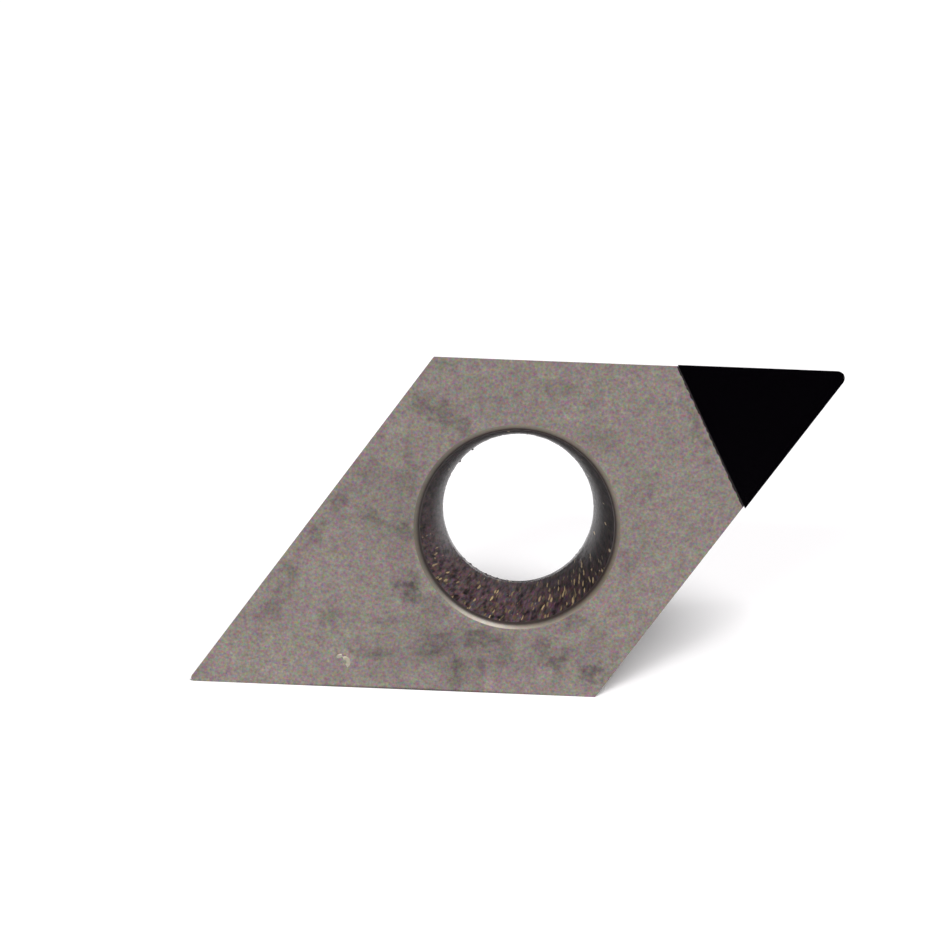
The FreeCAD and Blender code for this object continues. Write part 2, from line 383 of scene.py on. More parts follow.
def roughen(piece, wanted, direction, grain, height):
    """Pushes the wanted vertices in and out by an even, fine roughness."""
    group = piece.vertex_groups.new(name="rough")
    group.add([v.index for v in piece.data.vertices if wanted(v.co)], 1.0, "REPLACE")
    texture = bpy.data.textures.new("roughness", "CLOUDS")
    texture.noise_scale = grain
    texture.noise_depth = 2
    modifier = piece.modifiers.new("roughen", "DISPLACE")
    modifier.texture = texture
    modifier.texture_coords = "LOCAL"
    modifier.direction = direction
    modifier.strength = height
    modifier.vertex_group = group.name
    apply_modifier(piece, modifier)


def combine(piece, cutter, operation):
    modifier = piece.modifiers.new("combine", "BOOLEAN")
    modifier.operation = operation
    modifier.solver = "EXACT"
    modifier.object = cutter
    apply_modifier(piece, modifier)


def body_blank(name, depth):
    """The rhombic plate before its hole and pocket, down to a depth below the rake face."""
    blank = rough_block(name, -depth, 0)
    grind_flat(blank, TOP_FLANK, CIRCLE_RADIUS - TOP_FLANK_SETBACK, CLEARANCE)
    grind_flat(blank, SIDE_FLANK, CIRCLE_RADIUS - SIDE_FLANK_SETBACK, CLEARANCE)
    grind_flat(blank, BACK_FLANK, CIRCLE_RADIUS, CLEARANCE)
    grind_flat(blank, LOWER_FLANK, CIRCLE_RADIUS, CLEARANCE)
    round_corner(blank, 1, CORNER_RADIUS, CORNER_STEPS)
    round_corner(blank, -1, CORNER_RADIUS, CORNER_STEPS)
    break_edges(blank, EDGE_BREAK)
    return blank


def tip_blank(name, top, bottom):
    """A slice of the tip between two heights, ground to the cutting edges and the nose."""
    blank = rough_block(name, bottom, top)
    grind_flat(blank, TOP_FLANK, CIRCLE_RADIUS, CLEARANCE)
    grind_flat(blank, SIDE_FLANK, CIRCLE_RADIUS, CLEARANCE)
    round_corner(blank, 1, NOSE_RADIUS, NOSE_STEPS)
    grind_flat(blank, TIP_BACK, -JOINT_POSITION)
    return blank


def hole_plug():
    """What comes out of the screw hole: the land, the conical seat and the bevelled mouth."""
    cone_low = LAND_LENGTH - THICKNESS
    cone_high = -MOUTH_BEVEL
    bpy.ops.object.select_all(action="DESELECT")
    bpy.ops.mesh.primitive_cone_add(
        vertices=HOLE_STEPS,
        radius1=HOLE_RADIUS,
        radius2=MOUTH_RADIUS,
        depth=cone_high - cone_low,
        location=(0, 0, (cone_high + cone_low) / 2),
    )
    bpy.ops.object.transform_apply(location=True, rotation=False, scale=False)
    plug = bpy.context.active_object
    plug.name = "hole_plug"
    start_edit(plug)
    pick(plug, "edges", lambda edge: abs(edge.verts[0].co.z - edge.verts[1].co.z) > SPARE)
    bpy.ops.mesh.subdivide(number_cuts=WALL_STEPS)
    pick(plug, "faces", lambda face: face.normal.z > LEVEL)
    profile = [
        (MOUTH_RADIUS + MOUTH_BEVEL * outwards, -MOUTH_BEVEL * down)
        for outwards, down in MOUTH_PROFILE
    ]
    for (radius, height), (next_radius, next_height) in zip(profile, profile[1:]):
        rise = next_height - height
        spread = next_radius / radius
        bpy.ops.mesh.extrude_region_move(TRANSFORM_OT_translate={"value": (0, 0, rise)})
        bpy.ops.transform.resize(value=(spread, spread, 1), center_override=(0, 0, next_height))
    pick(plug, "faces", lambda face: face.normal.z < -LEVEL)
    for step in range(LAND_STEPS + 1):
        drop = LAND_LENGTH / LAND_STEPS
        bpy.ops.mesh.extrude_region_move(TRANSFORM_OT_translate={"value": (0, 0, -drop)})
    end_edit()
    return plug


def pocket_block():
    """What the wheel takes out of the corner. It leaves the pocket's back a little ragged."""

    def on_back(point):
        return abs(point.x - POCKET_POSITION) < NEAR

    def at_root(edge):
        return all(on_back(v.co) and v.co.z < NEAR - POCKET_DEPTH for v in edge.verts)

    def inside_back(point):
        clear_of_sides = abs(point.y) < POCKET_BLOCK_REACH - MARGIN
        clear_of_ends = POCKET_CORNER_RADIUS - POCKET_DEPTH < point.z < SPARE - MARGIN
        return on_back(point) and clear_of_sides and clear_of_ends

    block = rough_block("pocket_block", -POCKET_DEPTH, SPARE)
    grind_flat(block, TIP_BACK, -POCKET_POSITION)
    grind_flat(block, math.radians(90), POCKET_BLOCK_REACH)
    grind_flat(block, math.radians(-90), POCKET_BLOCK_REACH)
    start_edit(block)
    pick(block, "edges", at_root)
    bpy.ops.mesh.bevel(offset=POCKET_CORNER_RADIUS, segments=CORNER_STEPS, profile=0.5)
    pick(block, "edges", lambda edge: all(on_back(v.co) for v in edge.verts))
    bpy.ops.mesh.subdivide(number_cuts=POCKET_STEPS)
    end_edit()
    roughen(block, inside_back, "X", POCKET_GRAIN, POCKET_ROUGHNESS)
    return block


def raise_rim_burrs(body):
    """Draws small slivers of metal inwards from the rim of the hole in the seat face."""

    def near_rim(point):
        on_seat = point.z < 3 * EDGE_BREAK - THICKNESS
        return on_seat and math.hypot(point.x, point.y) < HOLE_RADIUS + EDGE_BREAK

    for place, reach in RIM_BURRS:
        turn = math.radians(place)
        towards = Vector((math.cos(turn), math.sin(turn), 0))
        start_edit(body)
        pick(
            body,
            "verts",
            lambda v: near_rim(v.co) and v.co.xy.angle(towards.xy) < BURR_WIDTH / 2,
        )
        bpy.ops.transform.translate(value=towards * -reach)
        end_edit()


def raise_hook(body):
    """Raises the hooked sliver on the rake face: part of a flattened ring."""
    bpy.ops.object.select_all(action="DESELECT")
    bpy.ops.mesh.primitive_torus_add(
        major_radius=HOOK_RADIUS,
        minor_radius=HOOK_THICKNESS,
        major_segments=48,
        minor_segments=12,
        location=on_face(HOOK_CENTRE),
    )
    hook = bpy.context.active_object
    hook.scale.z = MARK_HEIGHT / HOOK_THICKNESS
    bpy.ops.object.transform_apply(location=True, rotation=False, scale=True)
    centre = on_face(HOOK_CENTRE)
    for turn, side in ((HOOK_START, 1), (HOOK_END, -1)):
        across = turn - HALF_ANGLE + side * math.radians(90)
        start_edit(hook)
        bpy.ops.mesh.select_all(action="SELECT")
        bpy.ops.mesh.bisect(
            plane_co=centre,
            plane_no=(math.cos(across), math.sin(across), 0),
            use_fill=True,
            clear_outer=True,
        )
        end_edit()
    combine(body, hook, "UNION")
    bpy.data.objects.remove(hook)


def raise_speck(body):
    """Raises the small speck beside the hook's start."""
    bpy.ops.object.select_all(action="DESELECT")
    bpy.ops.mesh.primitive_uv_sphere_add(
        segments=24, ring_count=12, radius=1, location=on_face(SPECK_PLACE)
    )
    speck = bpy.context.active_object
    speck.scale = (*SPECK_SIZE, MARK_HEIGHT)
    bpy.ops.object.transform_apply(location=True, rotation=False, scale=True)
    combine(body, speck, "UNION")
    bpy.data.objects.remove(speck)


def stand_up(piece):
    """Stands a finished piece in the row frame, in metres, with its place in its mesh."""
    piece.matrix_world = STAND
    bpy.ops.object.select_all(action="DESELECT")
    piece.select_set(True)
    bpy.context.view_layer.objects.active = piece
    bpy.ops.object.transform_apply(location=True, rotation=True, scale=True)
    bpy.ops.object.shade_smooth_by_angle(angle=BREAK_ANGLE)
    modifier = piece.modifiers.new("flat_faces", "WEIGHTED_NORMAL")
    modifier.weight = FLAT_FACE_WEIGHT
    modifier.keep_sharp = True
    apply_modifier(piece, modifier)


def on_hole_wall(point):
    """Inside the hole, clear of both rims."""
    inside = math.hypot(point.x, point.y) < MOUTH_RADIUS + EDGE_BREAK
    return inside and 3 * EDGE_BREAK - THICKNESS < point.z < -MOUTH_BEVEL - 2 * EDGE_BREAK


def make_body(pocket):
    body = body_blank("body_with_hole", THICKNESS)
    plug = hole_plug()
    combine(body, plug, "DIFFERENCE")
    bpy.data.objects.remove(plug)
    combine(body, pocket, "DIFFERENCE")
    roughen(body, on_hole_wall, "NORMAL", WALL_GRAIN, WALL_ROUGHNESS)
    raise_rim_burrs(body)
    raise_hook(body)
    raise_speck(body)
    return body


def make_braze(pocket):
    braze = body_blank("braze_film", POCKET_DEPTH)
    combine(braze, pocket, "INTERSECT")
    room = tip_blank("tip_room", SPARE, -TIP_THICKNESS)
    combine(braze, room, "DIFFERENCE")
    bpy.data.objects.remove(room)
    return braze


def make_backing():
    backing = tip_blank("carbide_backing", -DIAMOND_THICKNESS, -TIP_THICKNESS)
    break_edges(backing, CUTTING_EDGE_BREAK)
    return backing


def make_diamond():
    diamond = tip_blank("diamond_tip", 0, -DIAMOND_THICKNESS)
    break_edges(diamond, CUTTING_EDGE_BREAK)
    return diamond


def srgb(red, green, blue):
    """A colour as seen on a screen, from 0 to 255, as the light it stands for."""
    def light(value):
        share = value / 255
        return share / 12.92 if share <= 0.04045 else ((share + 0.055) / 1.055) ** 2.4
    return [light(value) for value in (red, green, blue)]


def add_node(tree, kind, feeds=None, **settings):
    """Adds a node, sets it up and feeds it: a socket is linked, and anything else is set."""
    added = tree.nodes.new(kind)
    for name, value in settings.items():
        setattr(added, name, value)
    for name, value in (feeds or {}).items():
        if isinstance(value, bpy.types.NodeSocket):
            tree.links.new(value, added.inputs[name])
        else:
            added.inputs[name].default_value = value
    return added


def calculate(tree, operation, first, second=0.0, third=0.0):
    feeds = {0: first, 1: second, 2: third}
    return add_node(tree, "ShaderNodeMath", feeds, operation=operation).outputs[0]


def combine_vectors(tree, operation, first, second):
    feeds = {0: first, 1: second}
    combined = add_node(tree, "ShaderNodeVectorMath", feeds, operation=operation).outputs
    return combined["Value" if operation == "DOT_PRODUCT" else "Vector"]


def spread_out(tree, value, low, high, to_low, to_high, smooth=False):
    """Maps a value from one range to another and holds it there."""
    feeds = {"Value": value, "From Min": low, "From Max": high, "To Min": to_low, "To Max": to_high}
    kind = "SMOOTHSTEP" if smooth else "LINEAR"
    return add_node(tree, "ShaderNodeMapRange", feeds, interpolation_type=kind).outputs[0]


def noise(tree, place, scale, detail=2.0, roughness=0.5):
    feeds = {"Vector": place, "Scale": scale, "Detail": detail, "Roughness": roughness}
    return add_node(tree, "ShaderNodeTexNoise", feeds)


def new_group(name, inputs, outputs):
    """An empty shader group: (the group, its inputs as sockets to link from, its output node)."""
    group = bpy.data.node_groups.new(name, "ShaderNodeTree")
    for socket_name, kind in inputs:
        group.interface.new_socket(socket_name, in_out="INPUT", socket_type="NodeSocket" + kind)
    for socket_name, kind in outputs:
        group.interface.new_socket(socket_name, in_out="OUTPUT", socket_type="NodeSocket" + kind)
    entry = group.nodes.new("NodeGroupInput")
    leave = group.nodes.new("NodeGroupOutput")
    return group, entry.outputs, leave.inputs


def carbide_grain_group():
    """The sintered grain: a tint about white that multiplies a colour, and a height."""
    group, feed, result = new_group(
        "carbide_grain",
        [("Place", "Vector"), ("Grains per mm", "Float"), ("Contrast", "Float")],
        [("Tint", "Color"), ("Height", "Float")],
    )
    grain = noise(group, feed["Place"], feed["Grains per mm"], 2.0, 0.6)
    centred = combine_vectors(group, "SUBTRACT", grain.outputs["Color"], (0.5, 0.5, 0.5))
    contrast = add_node(group, "ShaderNodeVectorMath", {
        0: centred, "Scale": feed["Contrast"],
    }, operation="SCALE")
    tint = combine_vectors(group, "ADD", contrast.outputs[0], (1.0, 1.0, 1.0))
    group.links.new(tint, result["Tint"])
    group.links.new(grain.outputs["Fac"], result["Height"])
    return group


def cloudy_shade_group():
    """Soft uneven patches: a shade about one that multiplies a colour."""
    group, feed, result = new_group(
        "cloudy_shade",
        [("Place", "Vector"), ("Patches per mm", "Float"), ("Contrast", "Float")],
        [("Shade", "Float")],
    )
    patches = noise(group, feed["Place"], feed["Patches per mm"], 3.0, 0.55)
    centred = calculate(group, "SUBTRACT", patches.outputs["Fac"], 0.5)
    shade = calculate(group, "MULTIPLY_ADD", centred, feed["Contrast"], 1.0)
    group.links.new(shade, result["Shade"])
    return group


def soft_spot_group():
    """A long soft spot on the rake face: its mask, from 0 outside to 1 in its middle."""
    group, feed, result = new_group(
        "soft_spot",
        [("Place", "Vector"), ("Middle", "Vector"), ("Turn", "Vector"), ("Reach", "Vector")],
        [("Mask", "Float")],
    )
    laid = add_node(group, "ShaderNodeMapping", {
        "Vector": feed["Place"], "Location": feed["Middle"], "Rotation": feed["Turn"],
        "Scale": feed["Reach"],
    }, vector_type="TEXTURE")
    distance = add_node(group, "ShaderNodeVectorMath", {0: laid.outputs[0]}, operation="LENGTH")
    mask = spread_out(group, distance.outputs["Value"], 0.25, 1.15, 1.0, 0.0, smooth=True)
    group.links.new(mask, result["Mask"])
    return group


def wheel_marks_group():
    """Fine parallel marks of a grinding wheel: a shade about one, and a height."""
    group, feed, result = new_group(
        "wheel_marks",
        [
            ("Place", "Vector"), ("Turn", "Vector"), ("Marks per mm", "Vector"),
            ("Contrast", "Float"),
        ],
        [("Shade", "Float"), ("Height", "Float")],
    )
    turned = add_node(group, "ShaderNodeVectorRotate", {
        "Vector": feed["Place"], "Rotation": feed["Turn"],
    }, rotation_type="EULER_XYZ")
    stretched = combine_vectors(group, "MULTIPLY", turned.outputs[0], feed["Marks per mm"])
    marks = noise(group, stretched, 1.0, 3.0, 0.65)
    centred = calculate(group, "SUBTRACT", marks.outputs["Fac"], 0.5)
    shade = calculate(group, "MULTIPLY_ADD", centred, feed["Contrast"], 1.0)
    group.links.new(shade, result["Shade"])
    group.links.new(marks.outputs["Fac"], result["Height"])
    return group


def flecks_and_glints_group():
    """Bare metal flecks in a dark skin, partly painted glints: a mask, and a tone that differs from
    fleck to fleck.
    """
    group, feed, result = new_group(
        "flecks_and_glints",
        [("Place", "Vector"), ("Flecks per mm", "Float"), ("Share", "Float")],
        [("Mask", "Float"), ("Tone", "Float")],
    )
    cells = add_node(group, "ShaderNodeTexVoronoi", {
        "Vector": feed["Place"], "Scale": feed["Flecks per mm"],
    })
    tones = add_node(group, "ShaderNodeSeparateColor", {"Color": cells.outputs["Color"]})
    spot = spread_out(group, cells.outputs["Distance"], 0.18, 0.42, 1.0, 0.0, smooth=True)
    chosen = calculate(group, "LESS_THAN", tones.outputs["Red"], feed["Share"])
    mask = calculate(group, "MULTIPLY", spot, chosen)
    group.links.new(mask, result["Mask"])
    group.links.new(tones.outputs["Green"], result["Tone"])
    return group


def place_group(tree, group, feeds):
    return add_node(tree, "ShaderNodeGroup", feeds, node_tree=group).outputs


def grained(tree, place, per_mm, contrast):
    return place_group(tree, CARBIDE_GRAIN, {
        "Place": place, "Grains per mm": per_mm, "Contrast": contrast,
    })


def clouded(tree, place, per_mm, contrast):
    return place_group(tree, CLOUDY_SHADE, {
        "Place": place, "Patches per mm": per_mm, "Contrast": contrast,
    })["Shade"]


def wheel_marked(tree, place, per_mm, contrast, turn=0.0):
    return place_group(tree, WHEEL_MARKS, {
        "Place": place, "Turn": (0.0, 0.0, math.radians(turn)),
        "Marks per mm": per_mm, "Contrast": contrast,
    })


def new_material(name):
    material = bpy.data.materials.new(name)
    material.use_nodes = True
    tree = material.node_tree
    tree.nodes.clear()
    surface = tree.nodes.new("ShaderNodeBsdfPrincipled")
    output = tree.nodes.new("ShaderNodeOutputMaterial")
    tree.links.new(surface.outputs[0], output.inputs["Surface"])
    return material, tree, surface


def face_millimetres(tree):
    """Where a point is on the insert: X to the right, Y up the rake face, Z out of it, in mm."""
    place = add_node(tree, "ShaderNodeTexCoord")
    mapping = add_node(tree, "ShaderNodeMapping", {
        "Vector": place.outputs["Object"],
        "Location": RAKE_CENTRE,
        "Rotation": (TILT, 0, 0),
        "Scale": (MM, MM, MM),
    }, vector_type="TEXTURE")
    return mapping.outputs[0]


def tinted(tree, colour, *factors):
    """A colour multiplied by tints and shades, one after the other."""
    for factor in factors:
        colour = combine_vectors(tree, "MULTIPLY", colour, factor)
    return colour


def mixed(tree, mask, first, second):
    """One colour where a mask is 0 and another where it is 1."""
    return add_node(tree, "ShaderNodeMix", {
        "Factor": mask, 6: first, 7: second,
    }, data_type="RGBA").outputs[2]


def faded(tree, shade, mask, amount):
    """Darkens a shade by an amount where a mask is 1."""
    loss = calculate(tree, "MULTIPLY_ADD", mask, -amount, 1.0)
    return calculate(tree, "MULTIPLY", shade, loss)


def set_colour(tree, surface, colour):
    tree.links.new(colour, surface.inputs["Base Color"])


def set_roughness(tree, surface, varied, amount, base):
    """Sets a roughness that grows by an amount from its base as the varied value goes to 1."""
    rough = calculate(tree, "MULTIPLY_ADD", varied, amount, base)
    tree.links.new(rough, surface.inputs["Roughness"])


def set_relief(tree, surface, height, depth):
    """Raises a fine relief, whose full depth is given in millimetres."""
    bump = add_node(tree, "ShaderNodeBump", {"Height": height, "Distance": depth * MM})
    tree.links.new(bump.outputs[0], surface.inputs["Normal"])


def stain_and_shade_masks(tree, place, stains):
    """The strongest of several soft spots at each point (stains, broad shades, paler patches and
    painted shade), each one as strong as it is listed.
    """
    total = None
    for middle, reach, turn, depth in stains:
        mask = place_group(tree, SOFT_SPOT, {
            "Place": place,
            "Middle": (*middle, 0.0),
            "Turn": (0.0, 0.0, math.radians(turn)),
            "Reach": (*reach, 1.0),
        })["Mask"]
        mask = calculate(tree, "MULTIPLY", mask, depth)
        total = mask if total is None else calculate(tree, "MAXIMUM", total, mask)
    return total


def lapped_rake_face():
    """The matt lapped face: even grain, soft patches, stains with ragged outlines, and painted
    shade along its lower edge.
    """
    material, tree, surface = new_material("lapped_rake_face")
    place = face_millimetres(tree)
    grain = grained(tree, place, per_mm=13.0, contrast=2.0)
    patches = clouded(tree, place, per_mm=1.3, contrast=0.42)
    mottle = clouded(tree, place, per_mm=4.0, contrast=0.62)
    lapping = wheel_marked(tree, place, per_mm=(0.9, 16.0, 1.0), contrast=0.12, turn=-78)
    ruffle = noise(tree, place, 2.2, 2.0, 0.6).outputs["Color"]
    offset = combine_vectors(tree, "SUBTRACT", ruffle, (0.5, 0.5, 0.5))
    offset = combine_vectors(tree, "MULTIPLY", offset, (STAIN_WANDER, STAIN_WANDER, 0.0))
    ruffled = combine_vectors(tree, "ADD", place, offset)
    clumps = noise(tree, place, 3.6, 3.0, 0.6).outputs["Fac"]
    ragged = spread_out(tree, clumps, 0.34, 0.62, 0.35, 1.15)
    stain = calculate(tree, "MULTIPLY", stain_and_shade_masks(tree, ruffled, STAINS), ragged)
    shade = faded(tree, 1.0, stain, STAIN_DARKNESS)
    shade = faded(tree, shade, stain_and_shade_masks(tree, ruffled, BROAD_SHADES), SHADE_DARKNESS)
    shade = faded(tree, shade, stain_and_shade_masks(tree, ruffled, PALER_PATCHES), -PALER_GAIN)
    # Painted shade: a thin dark line along the lower edge, where the insert stands on the table.
    shade = faded(tree, shade, stain_and_shade_masks(tree, place, (EDGE_CONTACT_SHADE,)), CONTACT_SHADE_DARKNESS)
    shades = (patches, mottle, lapping["Shade"], shade)
    set_colour(tree, surface, tinted(tree, srgb(*RAKE_COLOUR), grain["Tint"], *shades))
    set_roughness(tree, surface, grain["Height"], amount=0.16, base=0.50)
    surface.inputs["Metallic"].default_value = 0.3
    set_relief(tree, surface, grain["Height"], depth=0.003)
    return material


def ground_flank():
    """The flanks: brighter than the face, with wheel marks that cross them from edge to seat."""
    material, tree, surface = new_material("ground_flank")
    place = face_millimetres(tree)
    grain = grained(tree, place, per_mm=15.0, contrast=0.5)
    patches = clouded(tree, place, per_mm=0.7, contrast=0.35)
    marks = wheel_marked(tree, place, per_mm=(26.0, 26.0, 0.7), contrast=0.5)
    colour = tinted(tree, srgb(*FLANK_COLOUR), grain["Tint"], patches, marks["Shade"])
    set_colour(tree, surface, colour)
    set_roughness(tree, surface, marks["Height"], amount=0.2, base=0.24)
    surface.inputs["Metallic"].default_value = 0.8
    set_relief(tree, surface, marks["Height"], depth=0.003)
    return material


def along_wall(tree, place, height):
    """The wall's own coordinates: around the hole, turned a little with the depth, and down."""
    flat = combine_vectors(tree, "MULTIPLY", place, (1.0, 1.0, 0.0))
    around = add_node(tree, "ShaderNodeVectorMath", {0: flat}, operation="NORMALIZE").outputs[0]
    swept = add_node(tree, "ShaderNodeVectorRotate", {
        "Vector": around, "Angle": calculate(tree, "MULTIPLY", height, STROKE_SWEEP),
    }, rotation_type="Z_AXIS").outputs[0]
    wrapped = combine_vectors(tree, "MULTIPLY", swept, (STROKES_AROUND, STROKES_AROUND, 0.0))
    down = combine_vectors(tree, "MULTIPLY", place, (0.0, 0.0, STROKES_DOWN))
    strokes = combine_vectors(tree, "ADD", wrapped, down)
    ruffle = noise(tree, strokes, 9.0, 1.0, 0.5).outputs["Color"]
    ruffle = combine_vectors(tree, "MULTIPLY", ruffle, (STROKE_WANDER,) * 3)
    return combine_vectors(tree, "ADD", strokes, ruffle)


def fleck_glint_share(tree, strokes, parts):
    """How much of the wall is bare and glinting, partly as painted glints: in clusters, most near
    the mouth, low down and right.
    """
    clumps = noise(tree, strokes, 1.3, 2.0, 0.5).outputs["Fac"]
    clusters = spread_out(tree, clumps, 0.35, 0.62, 0.3, 1.7)
    near_mouth = spread_out(tree, parts["Z"], -3.2, -0.3, 0.25, 1.1)
    near_right = spread_out(tree, parts["X"], 0.6, 1.9, 0.0, 0.8)
    low_down = spread_out(tree, parts["Y"], -2.3, -0.2, 0.60, 0.02)
    nearness = calculate(tree, "ADD", near_mouth, near_right)
    share = calculate(tree, "MULTIPLY", low_down, nearness)
    return calculate(tree, "MULTIPLY", share, clusters)


def sintered_hole_wall():
    """The hole's wall as sintered: a dark skin with golden flecks that are partly painted glints,
    painted paler to the lower left as painted light, shiny towards the far rim.
    """
    material, tree, surface = new_material("sintered_hole_wall")
    place = face_millimetres(tree)
    parts = add_node(tree, "ShaderNodeSeparateXYZ", {0: place}).outputs
    strokes = along_wall(tree, place, parts["Z"])
    grain = grained(tree, strokes, per_mm=15.0, contrast=2.0)
    patches = clouded(tree, strokes, per_mm=8.0, contrast=4.4)
    fleck_glints = place_group(tree, FLECKS_AND_GLINTS, {
        "Place": combine_vectors(tree, "MULTIPLY", strokes, FLECK_STRETCH),
        "Flecks per mm": 9.5,
        "Share": fleck_glint_share(tree, strokes, parts),
    })
    # Painted light and shade: the skin's colour is painted up to 2.4 times paler towards the lower
    # left, where the lamp lights the wall, and down to 0.7 times towards the upper right.
    towards_wear = combine_vectors(tree, "DOT_PRODUCT", place, TOWARDS_PAINTED_LIGHT)
    wear_and_painted_light = spread_out(tree, towards_wear, -1.2, 2.4, 0.7, 2.4)
    skin = tinted(tree, srgb(*WALL_SKIN_COLOUR), grain["Tint"], patches, wear_and_painted_light)
    tone = spread_out(tree, fleck_glints["Tone"], 0.0, 1.0, 0.15, 1.0)
    fleck_glint = tinted(tree, srgb(*FLECK_GLINT_COLOUR), tone)
    set_colour(tree, surface, mixed(tree, fleck_glints["Mask"], skin, fleck_glint))
    bare = calculate(tree, "MULTIPLY", fleck_glints["Mask"], 0.5)
    tree.links.new(bare, surface.inputs["Metallic"])
    set_roughness(tree, surface, fleck_glints["Mask"], amount=-0.25, base=0.72)
    surface.inputs["Specular IOR Level"].default_value = 0.12
    depth = spread_out(tree, parts["Z"], -0.5, -3.9, 0.0, 1.0)
    shine = calculate(tree, "POWER", depth, SHINE_RISE)
    tree.links.new(shine, surface.inputs["Coat Weight"])
    surface.inputs["Coat Roughness"].default_value = 0.22
    set_relief(tree, surface, grain["Height"], depth=0.012)
    return material


def bevelled_mouth():
    """The worn bevel at the hole's mouth: dark where it is steep, bare and shiny at the face, with
    painted shade towards the left.
    """
    material, tree, surface = new_material("bevelled_mouth")
    place = face_millimetres(tree)
    grain = grained(tree, place, per_mm=11.0, contrast=0.7)
    patches = clouded(tree, place, per_mm=1.6, contrast=0.6)
    parts = add_node(tree, "ShaderNodeSeparateXYZ", {0: place}).outputs
    bare = spread_out(tree, parts["Z"], -0.085, -0.015, 0.0, 1.0)
    # Painted shade: the bevel's colour darkens towards the left to dim its highlight there, and it
    # grows rougher there.
    left_painted_shade = spread_out(tree, parts["X"], -2.3, -0.4, 0.62, 1.0)
    wear_and_painted_light = mixed(tree, bare, (*srgb(*MOUTH_COLOUR), 1), (*srgb(*BARE_MOUTH_COLOUR), 1))
    set_colour(tree, surface, tinted(tree, wear_and_painted_light, grain["Tint"], patches, left_painted_shade))
    smoother = calculate(tree, "MULTIPLY_ADD", left_painted_shade, -0.2, 0.58)
    set_roughness(tree, surface, grain["Height"], amount=0.10, base=smoother)
    surface.inputs["Metallic"].default_value = 0.35
    surface.inputs["Specular IOR Level"].default_value = 1.0
    set_relief(tree, surface, grain["Height"], depth=0.002)
    return material


def highlit_sliver():
    """The hooked sliver and its speck: painted pale, as a painted highlight on the raised sliver.
    """
    material, tree, surface = new_material("highlit_sliver")
    grain = grained(tree, face_millimetres(tree), per_mm=16.0, contrast=0.8)
    set_colour(tree, surface, tinted(tree, srgb(*SLIVER_HIGHLIGHT_COLOUR), grain["Tint"]))
    set_roughness(tree, surface, grain["Height"], amount=0.2, base=0.3)
    surface.inputs["Metallic"].default_value = 0.3
    return material


def dull_braze():
    """The film of braze: tarnished nearly black, with a little warm metal showing."""
    material, tree, surface = new_material("dull_braze")
    place = face_millimetres(tree)
    grain = grained(tree, place, per_mm=9.0, contrast=1.0)
    patches = clouded(tree, place, per_mm=3.0, contrast=1.4)
    set_colour(tree, surface, tinted(tree, srgb(*BRAZE_COLOUR), grain["Tint"], patches))
    set_roughness(tree, surface, grain["Height"], amount=0.3, base=0.3)
    surface.inputs["Metallic"].default_value = 0.7
    set_relief(tree, surface, grain["Height"], depth=0.01)
    return material


def backing_carbide():
    """The tip's carbide half, finer than the body and a little paler."""
    material, tree, surface = new_material("backing_carbide")
    place = face_millimetres(tree)
    grain = grained(tree, place, per_mm=20.0, contrast=0.5)
    marks = wheel_marked(tree, place, per_mm=(34.0, 34.0, 0.9), contrast=0.35)
    set_colour(tree, surface, tinted(tree, srgb(*BACKING_COLOUR), grain["Tint"], marks["Shade"]))
    set_roughness(tree, surface, marks["Height"], amount=0.16, base=0.2)
    surface.inputs["Metallic"].default_value = 0.85
    set_relief(tree, surface, marks["Height"], depth=0.002)
    return material


def lapped_diamond():
    """The diamond layer: black and smooth on top, with finer wheel marks on its flanks."""
    material, tree, surface = new_material("lapped_diamond")
    place = face_millimetres(tree)
    grain = grained(tree, place, per_mm=22.0, contrast=1.2)
    marks = wheel_marked(tree, place, per_mm=(40.0, 40.0, 1.2), contrast=0.8)
    height = add_node(tree, "ShaderNodeSeparateXYZ", {0: place}).outputs["Z"]
    on_flank = spread_out(tree, height, -0.012, -0.004, 1.0, 0.0)
    top = tinted(tree, srgb(*DIAMOND_COLOUR), grain["Tint"])
    side = tinted(tree, srgb(*DIAMOND_FLANK_COLOUR), grain["Tint"], marks["Shade"])
    set_colour(tree, surface, mixed(tree, on_flank, top, side))
    polish = calculate(tree, "MULTIPLY_ADD", grain["Height"], 0.06, 0.07)
    set_roughness(tree, surface, on_flank, amount=0.2, base=polish)
    relief = calculate(tree, "MULTIPLY", marks["Height"], on_flank)
    set_relief(tree, surface, relief, depth=0.001)
    return material


CARBIDE_GRAIN = carbide_grain_group()
CLOUDY_SHADE = cloudy_shade_group()
SOFT_SPOT = soft_spot_group()
WHEEL_MARKS = wheel_marks_group()
FLECKS_AND_GLINTS = flecks_and_glints_group()

pocket = pocket_block()
body = make_body(pocket)
braze = make_braze(pocket)
bpy.data.objects.remove(pocket)
backing = make_backing()
diamond = make_diamond()

RAKE, WALL, MOUTH, FLANK, SLIVER = range(5)


def surface_of(face):
    """Which of the body's finishes a face has, by where it lies and where it faces."""
    centre = face.center
    radius = math.hypot(centre.x, centre.y)
    if radius < MOUTH_RADIUS + MOUTH_BEVEL + EDGE_BREAK and abs(face.normal.z) < LEVEL:
        return WALL if centre.z < -MOUTH_BEVEL - EDGE_BREAK / 2 else MOUTH
    if centre.z > EDGE_BREAK / 10:
        return SLIVER
    return FLANK if abs(face.normal.z) < STEEP else RAKE


for make_finish in (
    lapped_rake_face, sintered_hole_wall, bevelled_mouth, ground_flank, highlit_sliver,
):
    body.data.materials.append(make_finish())
for face in body.data.polygons:
    face.material_index = surface_of(face)
braze.data.materials.append(dull_braze())
backing.data.materials.append(backing_carbide())
diamond.data.materials.append(lapped_diamond())

for piece, node, slot in (
    (body, "carbide_body", "ground_carbide"),
    (braze, "braze_joint", "silver_braze"),
    (backing, "tip_backing", "backing_carbide"),
    (diamond, "diamond_layer", "polished_diamond"),
):
    stand_up(piece)
    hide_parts(node)
    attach(piece, "root")


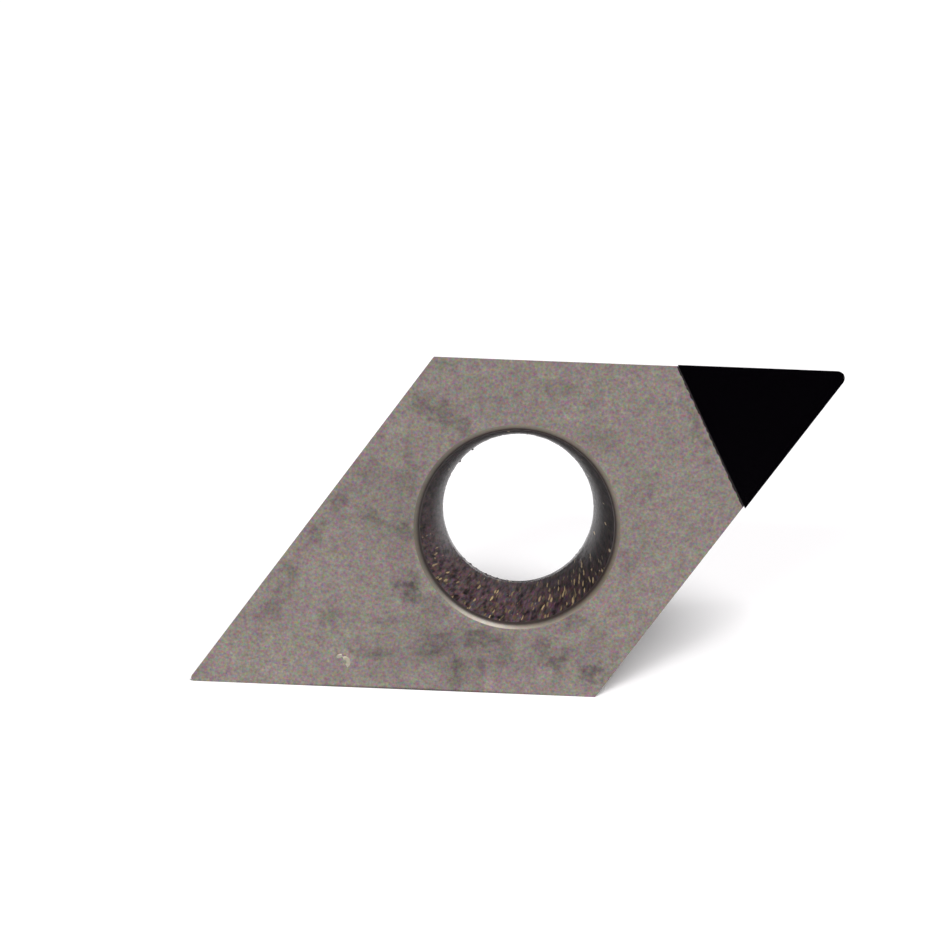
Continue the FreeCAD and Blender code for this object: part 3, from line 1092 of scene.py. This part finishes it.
def add_floor():
    """The white table. It looks white to the camera and in the metal, and keeps the shadow."""
    bpy.ops.object.select_all(action="DESELECT")
    bpy.ops.mesh.primitive_plane_add(
        size=1,
        location=(0, (FLOOR_BACK - FLOOR_FRONT) / 2, cad_low.z),
        scale=(FLOOR_WIDTH, FLOOR_BACK + FLOOR_FRONT, 1),
    )
    bpy.ops.object.transform_apply(location=True, rotation=False, scale=True)
    floor = bpy.context.active_object
    floor.name = "floor"
    material, tree, surface = new_material("white_table")
    path = add_node(tree, "ShaderNodeLightPath").outputs
    seen = calculate(tree, "MAXIMUM", path["Is Camera Ray"], path["Is Glossy Ray"])
    set_colour(tree, surface, mixed(tree, seen, TABLE_COLOUR, SEEN_TABLE_COLOUR))
    surface.inputs["Roughness"].default_value = 1.0
    surface.inputs["Specular IOR Level"].default_value = 0.0
    floor.data.materials.append(material)


def add_soft_box(name, sight, size, power):
    """A square lamp seen from the insert in one direction, turned towards it."""
    data = bpy.data.lights.new(name, "AREA")
    data.size = size
    data.energy = power
    lamp = bpy.data.objects.new(name, data)
    bpy.context.scene.collection.objects.link(lamp)
    away = Vector(sight).normalized()
    lamp.location = away * LAMP_DISTANCE
    lamp.rotation_euler = away.to_track_quat("Z", "Y").to_euler()


def add_room():
    """The room: white to look at, while it lights and mirrors dimly, and least from in front."""
    world = bpy.data.worlds.new("white_room")
    bpy.context.scene.world = world
    world.use_nodes = True
    tree = world.node_tree
    tree.nodes.clear()
    sight = add_node(tree, "ShaderNodeTexCoord").outputs["Generated"]
    forward = add_node(tree, "ShaderNodeSeparateXYZ", {0: sight}).outputs["Y"]
    strength = spread_out(tree, forward, *ROOM_LIMITS, *ROOM_STRENGTHS)
    path = add_node(tree, "ShaderNodeLightPath").outputs
    shown = add_node(tree, "ShaderNodeBackground", {"Color": (1, 1, 1, 1), "Strength": 1.0})
    lighting = add_node(tree, "ShaderNodeBackground", {"Color": (1, 1, 1, 1), "Strength": strength})
    both = add_node(tree, "ShaderNodeMixShader", {
        0: path["Is Camera Ray"], 1: lighting.outputs[0], 2: shown.outputs[0],
    })
    add_node(tree, "ShaderNodeOutputWorld", {"Surface": both.outputs[0]})


def add_camera():
    data = bpy.data.cameras.new("camera")
    data.lens = CAMERA_LENS
    data.sensor_width = CAMERA_SENSOR
    data.clip_start = 1 * MM
    camera = bpy.data.objects.new("camera", data)
    bpy.context.scene.collection.objects.link(camera)
    camera.location = CAMERA_PLACE
    camera.rotation_euler = CAMERA_TURN
    bpy.context.scene.camera = camera


add_floor()
add_room()
for lamp in LAMPS:
    add_soft_box(*lamp)
add_camera()
bpy.context.scene.view_settings.view_transform = "Standard"
